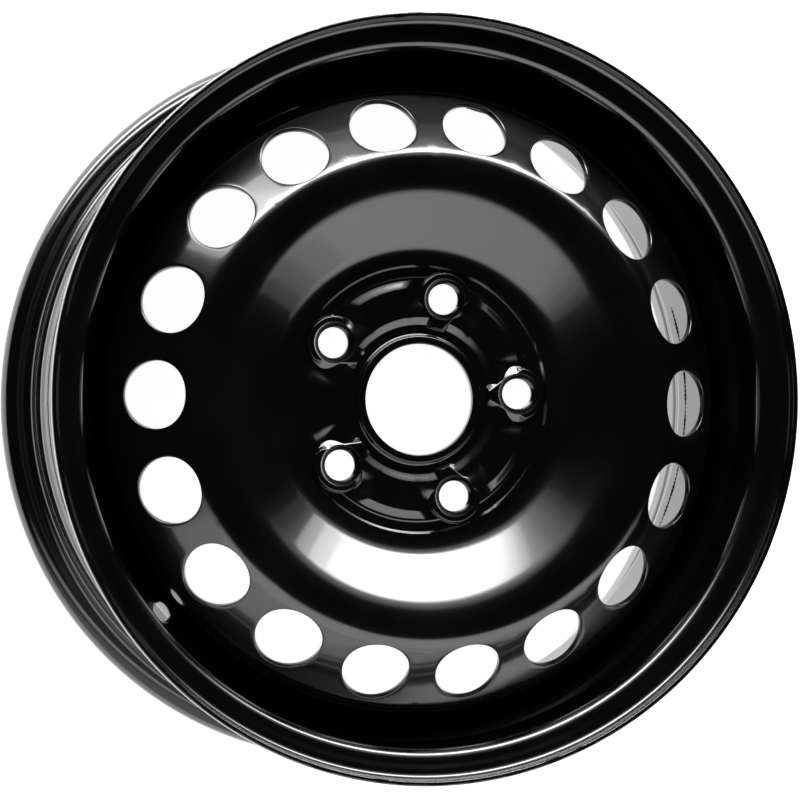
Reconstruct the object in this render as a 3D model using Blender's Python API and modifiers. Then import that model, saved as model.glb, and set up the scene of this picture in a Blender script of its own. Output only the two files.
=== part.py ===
"""Steel road wheel, 6 1/2 J x 16 with five bolts, as pressed, rolled and welded.

The spin axis is +Z with the street side up. The origin is on the axis, in the rim's centre plane.
The valve hole, one bolt hole and one vent hole lie in one line, on -Y. All lengths are in metres.
"""
import math

import bmesh
import bpy
from mathutils import Matrix, Vector

# Rim: the tyre side of the rolled band, which the tyre's size sets
RIM_WIDTH = 0.1651
SEAT_DIAMETER = 0.4056
SEAT_TAPER = math.radians(5.0)
SEAT_LENGTH = 0.0205
SEAT_CORNER = 0.0065
FLANGE_HEIGHT = 0.0175
FLANGE_CURL = 0.0095
FLANGE_LIP_TURN = math.radians(18.4)
HUMP_RISE = 0.0012
HUMP_LENGTH = 0.0090
WELL_DEPTH = 0.0178
WELL_LENGTH = 0.0430
WELL_RADIUS = 0.0080
LEDGE_DEPTH = 0.0033
SIDE_WALL_ANGLE = math.radians(42.0)
RAMP_ANGLE = math.radians(24.0)
RIM_SHEET = 0.0028
LIP_ROUNDING = 0.0006
LIP_FLAT_SHARE = 0.5

# Valve hole, square to the outboard side wall of the well
VALVE_HOLE = 0.0115
VALVE_AZIMUTH = math.radians(270.0)

# Disc: one pressing, thinned towards its skirt
OFFSET = 0.0510
HUB_SHEET = 0.0055
SKIRT_SHEET = 0.0038
THINNING_START = 0.0850
THINNING_END = 0.1400
PLATEAU_MARGIN = 0.0165
PLATEAU_STEP = 0.0016
PLATEAU_STEP_RUN = 0.0012
DISH_FLOOR_RUN = 0.0108
DISH_FLOOR_ANGLE = math.radians(4.0)
DISH_RADIUS = 0.0300
CROWN_SET_IN = 0.0469
CROWN_SHOULDER = 0.00845
CROWN_RISE = 0.0355
CROWN_INNER_RADIUS = 0.0260
CROWN_OUTER_RADIUS = 0.0150
VENT_SLOPE = math.radians(36.5)
SKIRT_RADIUS = 0.0150
SKIRT_END = 0.0160

# Centre bore and its collar, drawn forward
BORE = 0.0640
COLLAR_WALL = 0.0048
COLLAR_RISE = 0.0035
COLLAR_FLARE = 0.0020
COLLAR_ROUNDING = 0.0009
BORE_LEAD_IN = 0.0050

# Bolt seats on raised bosses
BOLT_COUNT = 5
BOLT_CIRCLE = 0.1200
BOLT_HOLE = 0.0177
BOSS_RISE = 0.0030
BOSS_TOP_DIAMETER = 0.0256
BOSS_SLOPE_RUN = 0.0036
BOSS_EDGE = 0.0003
BOSS_NOSE_REACH = 0.0170
BOSS_NOSE_WIDTH = 0.0050
BOSS_NOSE_RUN = 0.0010
BOSS_NOSE_TURN = math.radians(137.0)
SEAT_BALL = 0.0140
SEAT_LAND = 0.0016
SEAT_FACETS = 2

# Stiffening ribs pressed between the bosses
RIB_RISE = 0.0022
RIB_INSIDE_BOLTS = 0.0150
RIB_OUTSIDE_BOLTS = 0.0065
RIB_SPAN = math.radians(46.0)
RIB_SLOPE_RUN = 0.0035
RIB_STEPS = 10
RELIEF_SUNK = 0.0010

# Vent holes
VENT_COUNT = 18
VENT_SET_IN = 0.02325
VENT_HOLE = 0.0387

# Weld seams between skirt and well
WELD_COUNT = 4
WELD_SPAN = math.radians(50.0)
WELD_LEG = 0.0042
WELD_THROAT_BULGE = 0.0004

# Clearances and fineness
FIT_GAP = 0.0003
TOOL_OVERRUN = 0.0060
TURN_STEPS = 56
ROUND_STEPS = 18
CHORD_ERROR = 0.0005
MERGE = 0.000001
SHARP_EDGE = math.radians(35.0)

PAINT_COLOUR = (0.006, 0.006, 0.007, 1.0)
PAINT_ROUGHNESS = 0.22
WELD_ROUGHNESS = 0.38

SEAT_RADIUS = SEAT_DIAMETER / 2
WELL_INSIDE = SEAT_RADIUS - WELL_DEPTH - RIM_SHEET
SKIRT_OUTSIDE = WELL_INSIDE - FIT_GAP
CROWN = SKIRT_OUTSIDE - CROWN_SET_IN
VENT_CIRCLE = SKIRT_OUTSIDE - VENT_SET_IN
BOLT_RADIUS = BOLT_CIRCLE / 2
MOUNT_FACE = OFFSET
PLATEAU_TOP = OFFSET + HUB_SHEET
DISH_FLOOR = PLATEAU_TOP + PLATEAU_STEP
CROWN_TOP = OFFSET + CROWN_RISE


def clear_scene():
    for old in list(bpy.data.objects):
        bpy.data.objects.remove(old, do_unlink=True)


def new_collection(name):
    collection = bpy.data.collections.new(name)
    bpy.context.scene.collection.children.link(collection)
    return collection


def paint(name, roughness):
    material = bpy.data.materials.new(name)
    material.use_nodes = True
    shader = material.node_tree.nodes["Principled BSDF"]
    shader.inputs["Base Color"].default_value = PAINT_COLOUR
    shader.inputs["Roughness"].default_value = roughness
    shader.inputs["Metallic"].default_value = 0.0
    material.diffuse_color = PAINT_COLOUR
    return material


def bend_steps(radius, turn):
    """Facets that keep a bend within the chord error; none at a plain corner."""
    if radius <= CHORD_ERROR:
        return 0
    return max(1, round(turn / (2 * math.acos(1 - CHORD_ERROR / radius))))


def bend_path(corners):
    """A sheet's bent line through corners (radius, height, bend radius).

    Gives (radius, height, normal) for each point, the normal pointing to the left of travel.
    Bends that would run into each other are made tighter, so that they just meet.
    """
    ways = [math.atan2(there[1] - here[1], there[0] - here[0])
            for here, there in zip(corners, corners[1:])]
    turns = [math.remainder(way_out - way_in, math.tau) for way_in, way_out in zip(ways, ways[1:])]
    reaches = [0.0] + [corner[2] * math.tan(abs(turn) / 2)
                       for corner, turn in zip(corners[1:], turns)] + [0.0]
    room = [math.dist(here[:2], there[:2]) / max(reach + next_reach, MERGE)
            for here, there, reach, next_reach in zip(corners, corners[1:], reaches, reaches[1:])]
    path = []

    def mark(r, z, way):
        if not path or math.dist((r, z), path[-1][:2]) > MERGE:
            path.append((r, z, way))

    mark(*corners[0][:2], ways[0])
    for n, turn in enumerate(turns, start=1):
        tightening = min(1.0, room[n - 1], room[n])
        radius = corners[n][2] * tightening
        reach = reaches[n] * tightening
        way_in = ways[n - 1]
        side = math.copysign(1.0, turn)
        centre = (corners[n][0] - reach * math.cos(way_in) - side * radius * math.sin(way_in),
                  corners[n][1] - reach * math.sin(way_in) + side * radius * math.cos(way_in))
        steps = bend_steps(radius, abs(turn))
        for k in range(steps + 1):
            way = way_in + turn * (k / steps if steps else 0.5)
            mark(centre[0] + side * radius * math.sin(way),
                 centre[1] - side * radius * math.cos(way), way)
    mark(*corners[-1][:2], ways[-1])
    return [(r, z, (-math.sin(way), math.cos(way))) for r, z, way in path]


def other_side(path, thickness):
    """The far side of a sheet, travelled backwards; thickness is a function of the radius."""
    return [(r - nr * thickness(r), z - nz * thickness(r)) for r, z, (nr, nz) in reversed(path)]


def one_side(path):
    return [(r, z) for r, z, _ in path]


def meet(a, way_a, b, way_b):
    """Where the line through a along way_a crosses the line through b along way_b."""
    ca, sa = math.cos(way_a), math.sin(way_a)
    cb, sb = math.cos(way_b), math.sin(way_b)
    along = ((b[0] - a[0]) * sb - (b[1] - a[1]) * cb) / (ca * sb - sa * cb)
    return a[0] + along * ca, a[1] + along * sa


def turned(name, outline, collection):
    """A closed outline of (radius, height), clockwise, turned round the spin axis."""
    mesh = bpy.data.meshes.new(name)
    count = len(outline)
    ring = [(k, (k + 1) % count) for k in range(count)]
    mesh.from_pydata([(r, 0.0, z) for r, z in outline], ring, [])
    piece = bpy.data.objects.new(name, mesh)
    collection.objects.link(piece)
    screw = piece.modifiers.new("turn", "SCREW")
    screw.axis = "Z"
    screw.steps = TURN_STEPS
    screw.render_steps = TURN_STEPS
    screw.use_merge_vertices = False
    screw.use_smooth_shade = True
    return piece


def boolean(piece, operation, tool):
    modifier = piece.modifiers.new(tool.name, "BOOLEAN")
    modifier.operation = operation
    modifier.solver = "EXACT"
    modifier.object = tool


def settle(piece, material):
    """Keeps the evaluated mesh in place of the modifiers and shades its round faces smooth."""
    evaluated = piece.evaluated_get(bpy.context.evaluated_depsgraph_get())
    finished = bpy.data.meshes.new_from_object(evaluated)
    skin = bmesh.new()
    skin.from_mesh(finished)
    bmesh.ops.remove_doubles(skin, verts=skin.verts, dist=MERGE)
    skin.to_mesh(finished)
    skin.free()
    piece.modifiers.clear()
    piece.data = finished
    finished.name = piece.name
    finished.materials.clear()
    finished.materials.append(material)
    finished.shade_smooth()
    finished.set_sharp_from_angle(angle=SHARP_EDGE)


def tool_from(name, mesh_data, collection):
    mesh = bpy.data.meshes.new(name)
    bmesh.ops.recalc_face_normals(mesh_data, faces=mesh_data.faces)
    mesh_data.to_mesh(mesh)
    mesh_data.free()
    tool = bpy.data.objects.new(name, mesh)
    tool.hide_render = True
    tool.display_type = "WIRE"
    collection.objects.link(tool)
    return tool


def add_turned(mesh_data, outline, place):
    """Adds a closed turned shape, whose open outline starts and ends on its own axis, at a place."""
    points = [mesh_data.verts.new((r, 0.0, z)) for r, z in outline]
    edges = [mesh_data.edges.new(pair) for pair in zip(points, points[1:])]
    shape = bmesh.ops.spin(mesh_data, geom=points + edges, cent=(0, 0, 0), axis=(0, 0, 1),
                           dvec=(0, 0, 0), angle=math.tau, steps=ROUND_STEPS, use_merge=True)
    swept = {vert for item in shape["geom_last"] for vert in getattr(item, "verts", [item])}
    linked = set(points) | swept
    frontier = list(linked)
    while frontier:
        for edge in frontier.pop().link_edges:
            for vert in edge.verts:
                if vert not in linked:
                    linked.add(vert)
                    frontier.append(vert)
    bmesh.ops.remove_doubles(mesh_data, verts=list(linked), dist=MERGE)
    kept = [vert for vert in linked if vert.is_valid]
    bmesh.ops.transform(mesh_data, matrix=place, verts=kept)


def azimuths(count):
    """Even steps round the axis, the first in line with the valve hole."""
    return [VALVE_AZIMUTH + math.tau * k / count for k in range(count)]


def bolt_places(height):
    return [Matrix.Rotation(turn, 4, "Z") @ Matrix.Translation((BOLT_RADIUS, 0, height))
            for turn in azimuths(BOLT_COUNT)]


def rim_corners():
    """The tyre side of the rim, from the outboard lip to the inboard lip."""
    flange = RIM_WIDTH / 2
    curl_centre = SEAT_RADIUS + FLANGE_HEIGHT - FLANGE_CURL
    lip = (curl_centre + FLANGE_CURL * math.cos(FLANGE_LIP_TURN),
           flange + FLANGE_CURL * (1 + math.sin(FLANGE_LIP_TURN)))
    edge = curl_centre + FLANGE_CURL
    lip_bend = flange + FLANGE_CURL * (1 + math.tan(FLANGE_LIP_TURN / 2))
    seat_end = SEAT_RADIUS - SEAT_LENGTH * math.tan(SEAT_TAPER)
    hump_top = seat_end + HUMP_RISE
    foot = flange - SEAT_LENGTH - HUMP_LENGTH
    ledge = SEAT_RADIUS - LEDGE_DEPTH
    well = SEAT_RADIUS - WELL_DEPTH
    well_start = foot - (hump_top - HUMP_RISE - well) / math.tan(SIDE_WALL_ANGLE)
    well_end = well_start - WELL_LENGTH
    ramp_end = well_end - (ledge - well) / math.tan(RAMP_ANGLE)
    seat = flange - SEAT_LENGTH
    crest = flange - SEAT_LENGTH - HUMP_LENGTH / 2
    return [
        (*lip, 0.0),
        (edge, lip_bend, FLANGE_CURL),
        (edge, flange, FLANGE_CURL),
        (SEAT_RADIUS, flange, SEAT_CORNER),
        (seat_end, seat, 0.0),
        (hump_top, crest, 0.0),
        (hump_top - HUMP_RISE, foot, 0.0),
        (well, well_start, WELL_RADIUS),
        (well, well_end, WELL_RADIUS),
        (ledge, ramp_end, WELL_RADIUS),
        (ledge, -foot, 0.0),
        (hump_top, -crest, 0.0),
        (seat_end, -seat, 0.0),
        (SEAT_RADIUS, -flange, SEAT_CORNER),
        (edge, -flange, FLANGE_CURL),
        (edge, -lip_bend, FLANGE_CURL),
        (lip[0], -lip[1], 0.0),
    ]


def rounded_lip(point, normal, way):
    """Two points that round the cut edge of the sheet; way is the direction out of the sheet."""
    depths = [RIM_SHEET * (1 - LIP_FLAT_SHARE) / 2, RIM_SHEET * (1 + LIP_FLAT_SHARE) / 2]
    return [(point[0] - normal[0] * depth + way[0] * LIP_ROUNDING,
             point[1] - normal[1] * depth + way[1] * LIP_ROUNDING) for depth in depths]


def make_rim(collection, tools, material):
    path = bend_path(rim_corners())
    tyre_side = one_side(path)
    air_side = other_side(path, lambda radius: RIM_SHEET)
    first, last = path[0], path[-1]
    outboard = rounded_lip(first, first[2], (-first[2][1], first[2][0]))
    inboard = rounded_lip(last, last[2], (last[2][1], -last[2][0]))
    rim = turned("rim_barrel", tyre_side + inboard + air_side + outboard[::-1], collection)
    boolean(rim, "DIFFERENCE", valve_tool(tools))
    settle(rim, material)


def valve_tool(tools):
    """A punch square to the outboard side wall, halfway down it."""
    corners = rim_corners()
    top, bottom = corners[6], corners[7]
    middle = ((top[0] + bottom[0]) / 2, (top[1] + bottom[1]) / 2)
    tilt = math.atan2(bottom[0] - top[0], bottom[1] - top[1]) + math.pi
    place = (Matrix.Rotation(VALVE_AZIMUTH, 4, "Z") @ Matrix.Translation((middle[0], 0, middle[1]))
             @ Matrix.Rotation(tilt - math.pi / 2, 4, "Y"))
    punch = bmesh.new()
    bmesh.ops.create_cone(punch, cap_ends=True, segments=ROUND_STEPS, radius1=VALVE_HOLE / 2,
                          radius2=VALVE_HOLE / 2, depth=RIM_SHEET + 2 * TOOL_OVERRUN, matrix=place)
    return tool_from("valve_punch", punch, tools)


def crown_edge():
    """The corner where the crown's top meets the vent cone."""
    return CROWN + CROWN_OUTER_RADIUS * math.tan(VENT_SLOPE / 2), CROWN_TOP


def disc_outline():
    """Section of the disc: bore, collar, plateau, dish, crown, vent cone and skirt, then back."""
    bore = BORE / 2
    collar = bore + COLLAR_WALL
    collar_top = PLATEAU_TOP + COLLAR_RISE
    plateau = BOLT_RADIUS + PLATEAU_MARGIN
    step = plateau + PLATEAU_STEP_RUN
    floor_end = (step + DISH_FLOOR_RUN, DISH_FLOOR + DISH_FLOOR_RUN * math.tan(DISH_FLOOR_ANGLE))
    crown_out = crown_edge()
    skirt_top = meet(crown_out, -VENT_SLOPE, (SKIRT_OUTSIDE, 0.0), math.pi / 2)

    hub_front = bend_path([
        (bore, MOUNT_FACE + BORE_LEAD_IN, 0.0),
        (bore, collar_top, COLLAR_ROUNDING),
        (collar, collar_top, COLLAR_ROUNDING),
        (collar + COLLAR_FLARE, PLATEAU_TOP, COLLAR_FLARE),
        (plateau, PLATEAU_TOP, 0.0),
    ])
    pressing = bend_path([
        (step, DISH_FLOOR, 0.0),
        (*floor_end, DISH_RADIUS),
        (CROWN - CROWN_SHOULDER, CROWN_TOP, CROWN_INNER_RADIUS),
        (*crown_out, CROWN_OUTER_RADIUS),
        (*skirt_top, SKIRT_RADIUS),
        (SKIRT_OUTSIDE, SKIRT_END, 0.0),
    ])
    hub_back = bend_path([
        (plateau, MOUNT_FACE, 0.0),
        (bore, MOUNT_FACE, BORE_LEAD_IN),
        (bore, MOUNT_FACE + BORE_LEAD_IN, 0.0),
    ])
    front = one_side(hub_front) + one_side(pressing)
    return front + other_side(pressing, disc_sheet) + one_side(hub_back)[:-1]


def disc_sheet(radius):
    share = (radius - THINNING_START) / (THINNING_END - THINNING_START)
    return HUB_SHEET + (SKIRT_SHEET - HUB_SHEET) * min(1.0, max(0.0, share))


def boss_outline(growth, nose_growth):
    """Plan of a boss round its bolt: a circle with a nose that narrows towards the bore."""
    radius = BOSS_TOP_DIAMETER / 2 + growth
    half_width = BOSS_NOSE_WIDTH / 2 + growth
    reach = -BOSS_NOSE_REACH - nose_growth
    steps = round(ROUND_STEPS * BOSS_NOSE_TURN / math.pi)
    turns = [BOSS_NOSE_TURN * (2 * k / steps - 1) for k in range(steps + 1)]
    return [(radius * math.cos(turn), radius * math.sin(turn)) for turn in turns] + [
        (reach, half_width), (reach, -half_width)]


def add_boss(mesh_data, place):
    """A boss that stands on the plateau, sunk into it, lofted from its foot to its top."""
    sunk = RELIEF_SUNK / BOSS_RISE
    rings = []
    for growth, nose_growth, height in (
            (BOSS_SLOPE_RUN * (1 + sunk), BOSS_NOSE_RUN * (1 + sunk), -RELIEF_SUNK),
            (BOSS_EDGE, 0.0, BOSS_RISE - BOSS_EDGE),
            (-BOSS_EDGE, -BOSS_EDGE, BOSS_RISE)):
        rings.append([mesh_data.verts.new(place @ Vector((x, y, height)))
                      for x, y in boss_outline(growth, nose_growth)])
    for ring, above in zip(rings, rings[1:]):
        for k in range(len(ring)):
            n = (k + 1) % len(ring)
            mesh_data.faces.new((ring[k], ring[n], above[n], above[k]))
    mesh_data.faces.new(rings[0])
    mesh_data.faces.new(rings[-1])


def boss_hollow():
    """Half section of the hollow that the punch leaves behind a boss."""
    top_radius = BOSS_TOP_DIAMETER / 2 - BOSS_SLOPE_RUN
    drop = RELIEF_SUNK * BOSS_SLOPE_RUN / BOSS_RISE
    return [(0.0, -RELIEF_SUNK), (BOSS_TOP_DIAMETER / 2 + drop, -RELIEF_SUNK),
            (BOSS_TOP_DIAMETER / 2, 0.0), (top_radius + BOSS_EDGE, BOSS_RISE - BOSS_EDGE),
            (top_radius - BOSS_EDGE, BOSS_RISE)]


def add_rib(mesh_data, turn, set_in, height):
    """A low ridge along an arc, its ends run out; lofted because its section changes."""
    sunk = RELIEF_SUNK
    drop = sunk * RIB_SLOPE_RUN / RIB_RISE
    inner = BOLT_RADIUS - RIB_INSIDE_BOLTS + set_in
    outer = BOLT_RADIUS + RIB_OUTSIDE_BOLTS - set_in
    rows = []
    for k in range(RIB_STEPS + 1):
        crest = RIB_RISE if 0 < k < RIB_STEPS else -sunk
        angle = turn + RIB_SPAN * (k / RIB_STEPS - 0.5)
        row = [(inner - drop, -2 * sunk), (inner - drop, -sunk), (inner + RIB_SLOPE_RUN, crest),
               (outer - RIB_SLOPE_RUN, crest), (outer + drop, -sunk), (outer + drop, -2 * sunk)]
        rows.append([mesh_data.verts.new((r * math.cos(angle), r * math.sin(angle), height + z))
                     for r, z in row])
    for row, following in zip(rows, rows[1:]):
        for k in range(len(row)):
            n = (k + 1) % len(row)
            mesh_data.faces.new((row[k], row[n], following[n], following[k]))
    mesh_data.faces.new(rows[0])
    mesh_data.faces.new(rows[-1])


def boss_tool(tools):
    """The drawn bosses, as they stand on the plateau."""
    bosses = bmesh.new()
    for place in bolt_places(PLATEAU_TOP):
        add_boss(bosses, place)
    return tool_from("boss_punch", bosses, tools)


def rib_tool(name, set_in, height, tools):
    ribs = bmesh.new()
    for turn in azimuths(BOLT_COUNT):
        add_rib(ribs, turn + math.pi / BOLT_COUNT, set_in, height)
    return tool_from(name, ribs, tools)


def bolt_tool(tools):
    """Die and punch of the bolt seats: hollow behind the boss, throat, ball seat open to the front."""
    throat = BOLT_HOLE / 2
    ball = BOSS_RISE + SEAT_LAND + math.sqrt(SEAT_BALL ** 2 - throat ** 2)
    start = math.asin(throat / SEAT_BALL)
    end = math.acos((ball - HUB_SHEET - BOSS_RISE - TOOL_OVERRUN / 2) / SEAT_BALL)
    turns = [start + (end - start) * k / SEAT_FACETS for k in range(SEAT_FACETS + 1)]
    seat = [(SEAT_BALL * math.sin(turn), ball - SEAT_BALL * math.cos(turn)) for turn in turns]
    outline = [*boss_hollow(), (throat, BOSS_RISE), *seat, (0.0, seat[-1][1])]
    punches = bmesh.new()
    for place in bolt_places(MOUNT_FACE):
        add_turned(punches, outline, place)
    return tool_from("bolt_punches", punches, tools)


def vent_tool(tools):
    """Punches square to the vent cone."""
    edge, top = crown_edge()
    height = top - (VENT_CIRCLE - edge) * math.tan(VENT_SLOPE)
    punches = bmesh.new()
    for turn in azimuths(VENT_COUNT):
        place = (Matrix.Rotation(turn, 4, "Z") @ Matrix.Translation((VENT_CIRCLE, 0, height))
                 @ Matrix.Rotation(VENT_SLOPE, 4, "Y"))
        bmesh.ops.create_cone(punches, cap_ends=True, segments=ROUND_STEPS, radius1=VENT_HOLE / 2,
                              radius2=VENT_HOLE / 2, depth=SKIRT_SHEET + 2 * TOOL_OVERRUN, matrix=place)
    return tool_from("vent_punches", punches, tools)


def make_disc(collection, tools, material):
    disc = turned("wheel_disc", disc_outline(), collection)
    boolean(disc, "UNION", rib_tool("rib_punch", 0.0, PLATEAU_TOP, tools))
    boolean(disc, "UNION", boss_tool(tools))
    boolean(disc, "DIFFERENCE", rib_tool("rib_hollow", RIB_SLOPE_RUN / 2, MOUNT_FACE, tools))
    boolean(disc, "DIFFERENCE", bolt_tool(tools))
    boolean(disc, "DIFFERENCE", vent_tool(tools))
    settle(disc, material)


def make_welds(collection, material):
    """Fillet seams between the skirt's edge and the inside of the well, facet on facet with both."""
    outer = SKIRT_OUTSIDE
    top = SKIRT_END - FIT_GAP
    inner = outer - WELD_LEG
    low = top - WELD_LEG
    bulge = (outer - WELD_LEG / 2 - WELD_THROAT_BULGE, top - WELD_LEG / 2 - WELD_THROAT_BULGE)
    section = [(outer, top), (outer, low), bulge, (inner, top)]
    facet = math.tau / TURN_STEPS
    steps = max(1, round(WELD_SPAN / facet))
    for number, turn in enumerate(azimuths(WELD_COUNT), start=1):
        seam = bmesh.new()
        start = round((turn + math.pi / WELD_COUNT) / facet - steps / 2) * facet
        corners = [seam.verts.new((r, 0.0, z)) for r, z in section]
        face = seam.faces.new(corners)
        bmesh.ops.rotate(seam, verts=corners, matrix=Matrix.Rotation(start, 3, "Z"))
        bmesh.ops.spin(seam, geom=[face, *face.edges, *corners], cent=(0, 0, 0), axis=(0, 0, 1),
                       dvec=(0, 0, 0), angle=steps * facet, steps=steps)
        bmesh.ops.recalc_face_normals(seam, faces=seam.faces)
        mesh = bpy.data.meshes.new(f"disc_weld_{number}")
        seam.to_mesh(mesh)
        seam.free()
        weld = bpy.data.objects.new(mesh.name, mesh)
        collection.objects.link(weld)
        settle(weld, material)


clear_scene()
wheel = new_collection("steel_wheel")
tooling = new_collection("tooling")
black_paint = paint("black_paint", PAINT_ROUGHNESS)
painted_weld = paint("painted_weld", WELD_ROUGHNESS)
make_rim(wheel, tooling, black_paint)
make_disc(wheel, tooling, black_paint)
make_welds(wheel, painted_weld)
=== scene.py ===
import math

import bpy
from mathutils import Matrix, Vector


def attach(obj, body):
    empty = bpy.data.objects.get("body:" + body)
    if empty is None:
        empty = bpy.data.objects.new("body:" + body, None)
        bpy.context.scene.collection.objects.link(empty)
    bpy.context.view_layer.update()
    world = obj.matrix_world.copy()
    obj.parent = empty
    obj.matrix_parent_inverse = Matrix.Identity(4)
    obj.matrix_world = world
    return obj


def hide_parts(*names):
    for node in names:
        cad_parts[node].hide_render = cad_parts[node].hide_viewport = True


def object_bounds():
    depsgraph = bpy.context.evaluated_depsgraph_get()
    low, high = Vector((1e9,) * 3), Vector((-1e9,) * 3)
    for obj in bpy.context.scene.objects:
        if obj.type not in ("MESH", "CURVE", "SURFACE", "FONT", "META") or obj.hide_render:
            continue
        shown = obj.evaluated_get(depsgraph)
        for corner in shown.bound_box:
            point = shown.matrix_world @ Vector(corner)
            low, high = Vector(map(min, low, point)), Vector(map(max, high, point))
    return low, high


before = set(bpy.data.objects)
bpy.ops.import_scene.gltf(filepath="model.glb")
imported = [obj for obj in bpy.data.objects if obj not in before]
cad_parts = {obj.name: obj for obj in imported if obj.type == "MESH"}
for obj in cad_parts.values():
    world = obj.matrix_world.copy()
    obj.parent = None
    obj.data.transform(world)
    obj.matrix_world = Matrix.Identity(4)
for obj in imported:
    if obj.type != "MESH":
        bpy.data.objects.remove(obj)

cad_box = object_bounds()


# Rim: one band of 2.8 mm sheet steel, rolled into a hoop, butt-welded and rolled to its section,
# with curled flanges, tapered bead seats, humps and a drop well, and pierced for the valve.
RIM_SHEET = 0.0028
RIM_WIDTH = 0.1651
SEAT_RADIUS = 0.2028
SEAT_LENGTH = 0.0205
SEAT_TAPER = math.radians(5.0)
SEAT_CORNER = 0.0065
FLANGE_HEIGHT = 0.0175
FLANGE_CURL = 0.0095
FLANGE_LIP_TURN = math.radians(18.4)
LIP_ROUNDING = 0.0008
LIP_ROUNDING_STEPS = 3
LIP_CORNER = math.radians(60.0)
HUMP_RISE = 0.0012
HUMP_LENGTH = 0.0090
HUMP_BEND = 0.0060
WELL_DEPTH = 0.0178
WELL_LENGTH = 0.0430
WELL_BEND = 0.0080
LEDGE_DEPTH = 0.0033
SIDE_WALL_ANGLE = math.radians(42.0)
RAMP_ANGLE = math.radians(24.0)
VALVE_HOLE = 0.0115
VALVE_EDGE = 0.0008
VALVE_LEAN = math.radians(14.0)
VALVE_AZIMUTH = math.radians(270.0)
TURN_STEPS = 360
CUTTER_STEPS = 64
CUTTER_OVERRUN = 0.0040
BEND_FACET = math.radians(7.0)
FLAT_FOOT = 0.0015
SHARP_EDGE = math.radians(30.0)
MERGE = 0.00001


def bent(corners, facet=BEND_FACET):
    """Points (radius, height) of a sheet's line bent round corners (radius, height, bend radius).

    A straight stretch gets a point near each end, so that its shading stays flat.
    """
    arcs = []
    for before, here, after in zip(corners, corners[1:], corners[2:]):
        way_in = math.atan2(here[1] - before[1], here[0] - before[0])
        way_out = math.atan2(after[1] - here[1], after[0] - here[0])
        turn = math.remainder(way_out - way_in, math.tau)
        side = math.copysign(here[2], turn)
        reach = here[2] * math.tan(abs(turn) / 2)
        start = (here[0] - reach * math.cos(way_in), here[1] - reach * math.sin(way_in))
        steps = max(1, round(abs(turn) / facet)) if here[2] else 0
        ways = [way_in + turn * k / steps for k in range(steps + 1)] if steps else [way_in]
        arcs.append([(start[0] + side * (math.sin(way) - math.sin(way_in)),
                      start[1] - side * (math.cos(way) - math.cos(way_in))) for way in ways])
    points = [corners[0][:2]]
    for arc in arcs + [[corners[-1][:2]]]:
        last, first = points[-1], arc[0]
        length = math.dist(last, first)
        shares = (FLAT_FOOT / length, 1 - FLAT_FOOT / length) if length > 2 * FLAT_FOOT else ()
        points += [(last[0] + (first[0] - last[0]) * share, last[1] + (first[1] - last[1]) * share)
                   for share in shares]
        points += arc[1:] if length < MERGE else arc
    return points


def select_all(action):
    bpy.ops.mesh.select_all(action=action)


def lay_line(name, points, closed=False):
    """A line through (radius, height) points, extruded point by point; it is left in edit mode."""
    bpy.ops.object.select_all(action="DESELECT")
    first = points[0]
    bpy.ops.mesh.primitive_plane_add(size=MERGE, location=(first[0], 0, first[1]))
    piece = bpy.context.object
    piece.name = piece.data.name = name
    bpy.ops.object.transform_apply(location=True)
    bpy.ops.object.mode_set(mode="EDIT")
    bpy.ops.mesh.select_mode(type="VERT")
    bpy.ops.mesh.merge(type="CENTER")
    for here, there in zip(points, points[1:]):
        step = (there[0] - here[0], 0, there[1] - here[1])
        bpy.ops.mesh.extrude_vertices_move(TRANSFORM_OT_translate={"value": step})
    if closed:
        select_all("SELECT")
        bpy.ops.mesh.edge_face_add()
        bpy.ops.mesh.delete(type="ONLY_FACE")
    return piece


def turn_faces_out():
    """Points all faces outwards and leaves edit mode."""
    select_all("SELECT")
    bpy.ops.mesh.normals_make_consistent(inside=False)
    bpy.ops.object.mode_set(mode="OBJECT")


def spin_round(steps=TURN_STEPS):
    """Turns the open line round the spin axis into a closed hoop."""
    select_all("SELECT")
    bpy.ops.mesh.spin(steps=steps, angle=math.tau, center=(0, 0, 0), axis=(0, 0, 1))
    select_all("SELECT")
    bpy.ops.mesh.remove_doubles(threshold=MERGE)
    turn_faces_out()


def apply_modifier(piece, kind, **settings):
    modifier = piece.modifiers.new(kind.lower(), kind)
    for key, value in settings.items():
        setattr(modifier, key, value)
    bpy.context.view_layer.objects.active = piece
    bpy.ops.object.modifier_apply(modifier=modifier.name)


def combine(piece, operation, tool):
    """Adds the tool to the piece (UNION) or cuts it out (DIFFERENCE), and removes the tool."""
    apply_modifier(piece, "BOOLEAN", operation=operation, solver="EXACT", object=tool)
    bpy.data.objects.remove(tool, do_unlink=True)


def add_cutter(outline):
    """A turned cutter: its outline of (radius, height) starts and ends on its own axis."""
    cutter = lay_line("cutter", outline)
    spin_round(CUTTER_STEPS)
    return cutter


def shade_smooth(piece):
    bpy.ops.object.select_all(action="DESELECT")
    piece.select_set(True)
    bpy.context.view_layer.objects.active = piece
    bpy.ops.object.shade_smooth_by_angle(angle=SHARP_EDGE)


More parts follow.
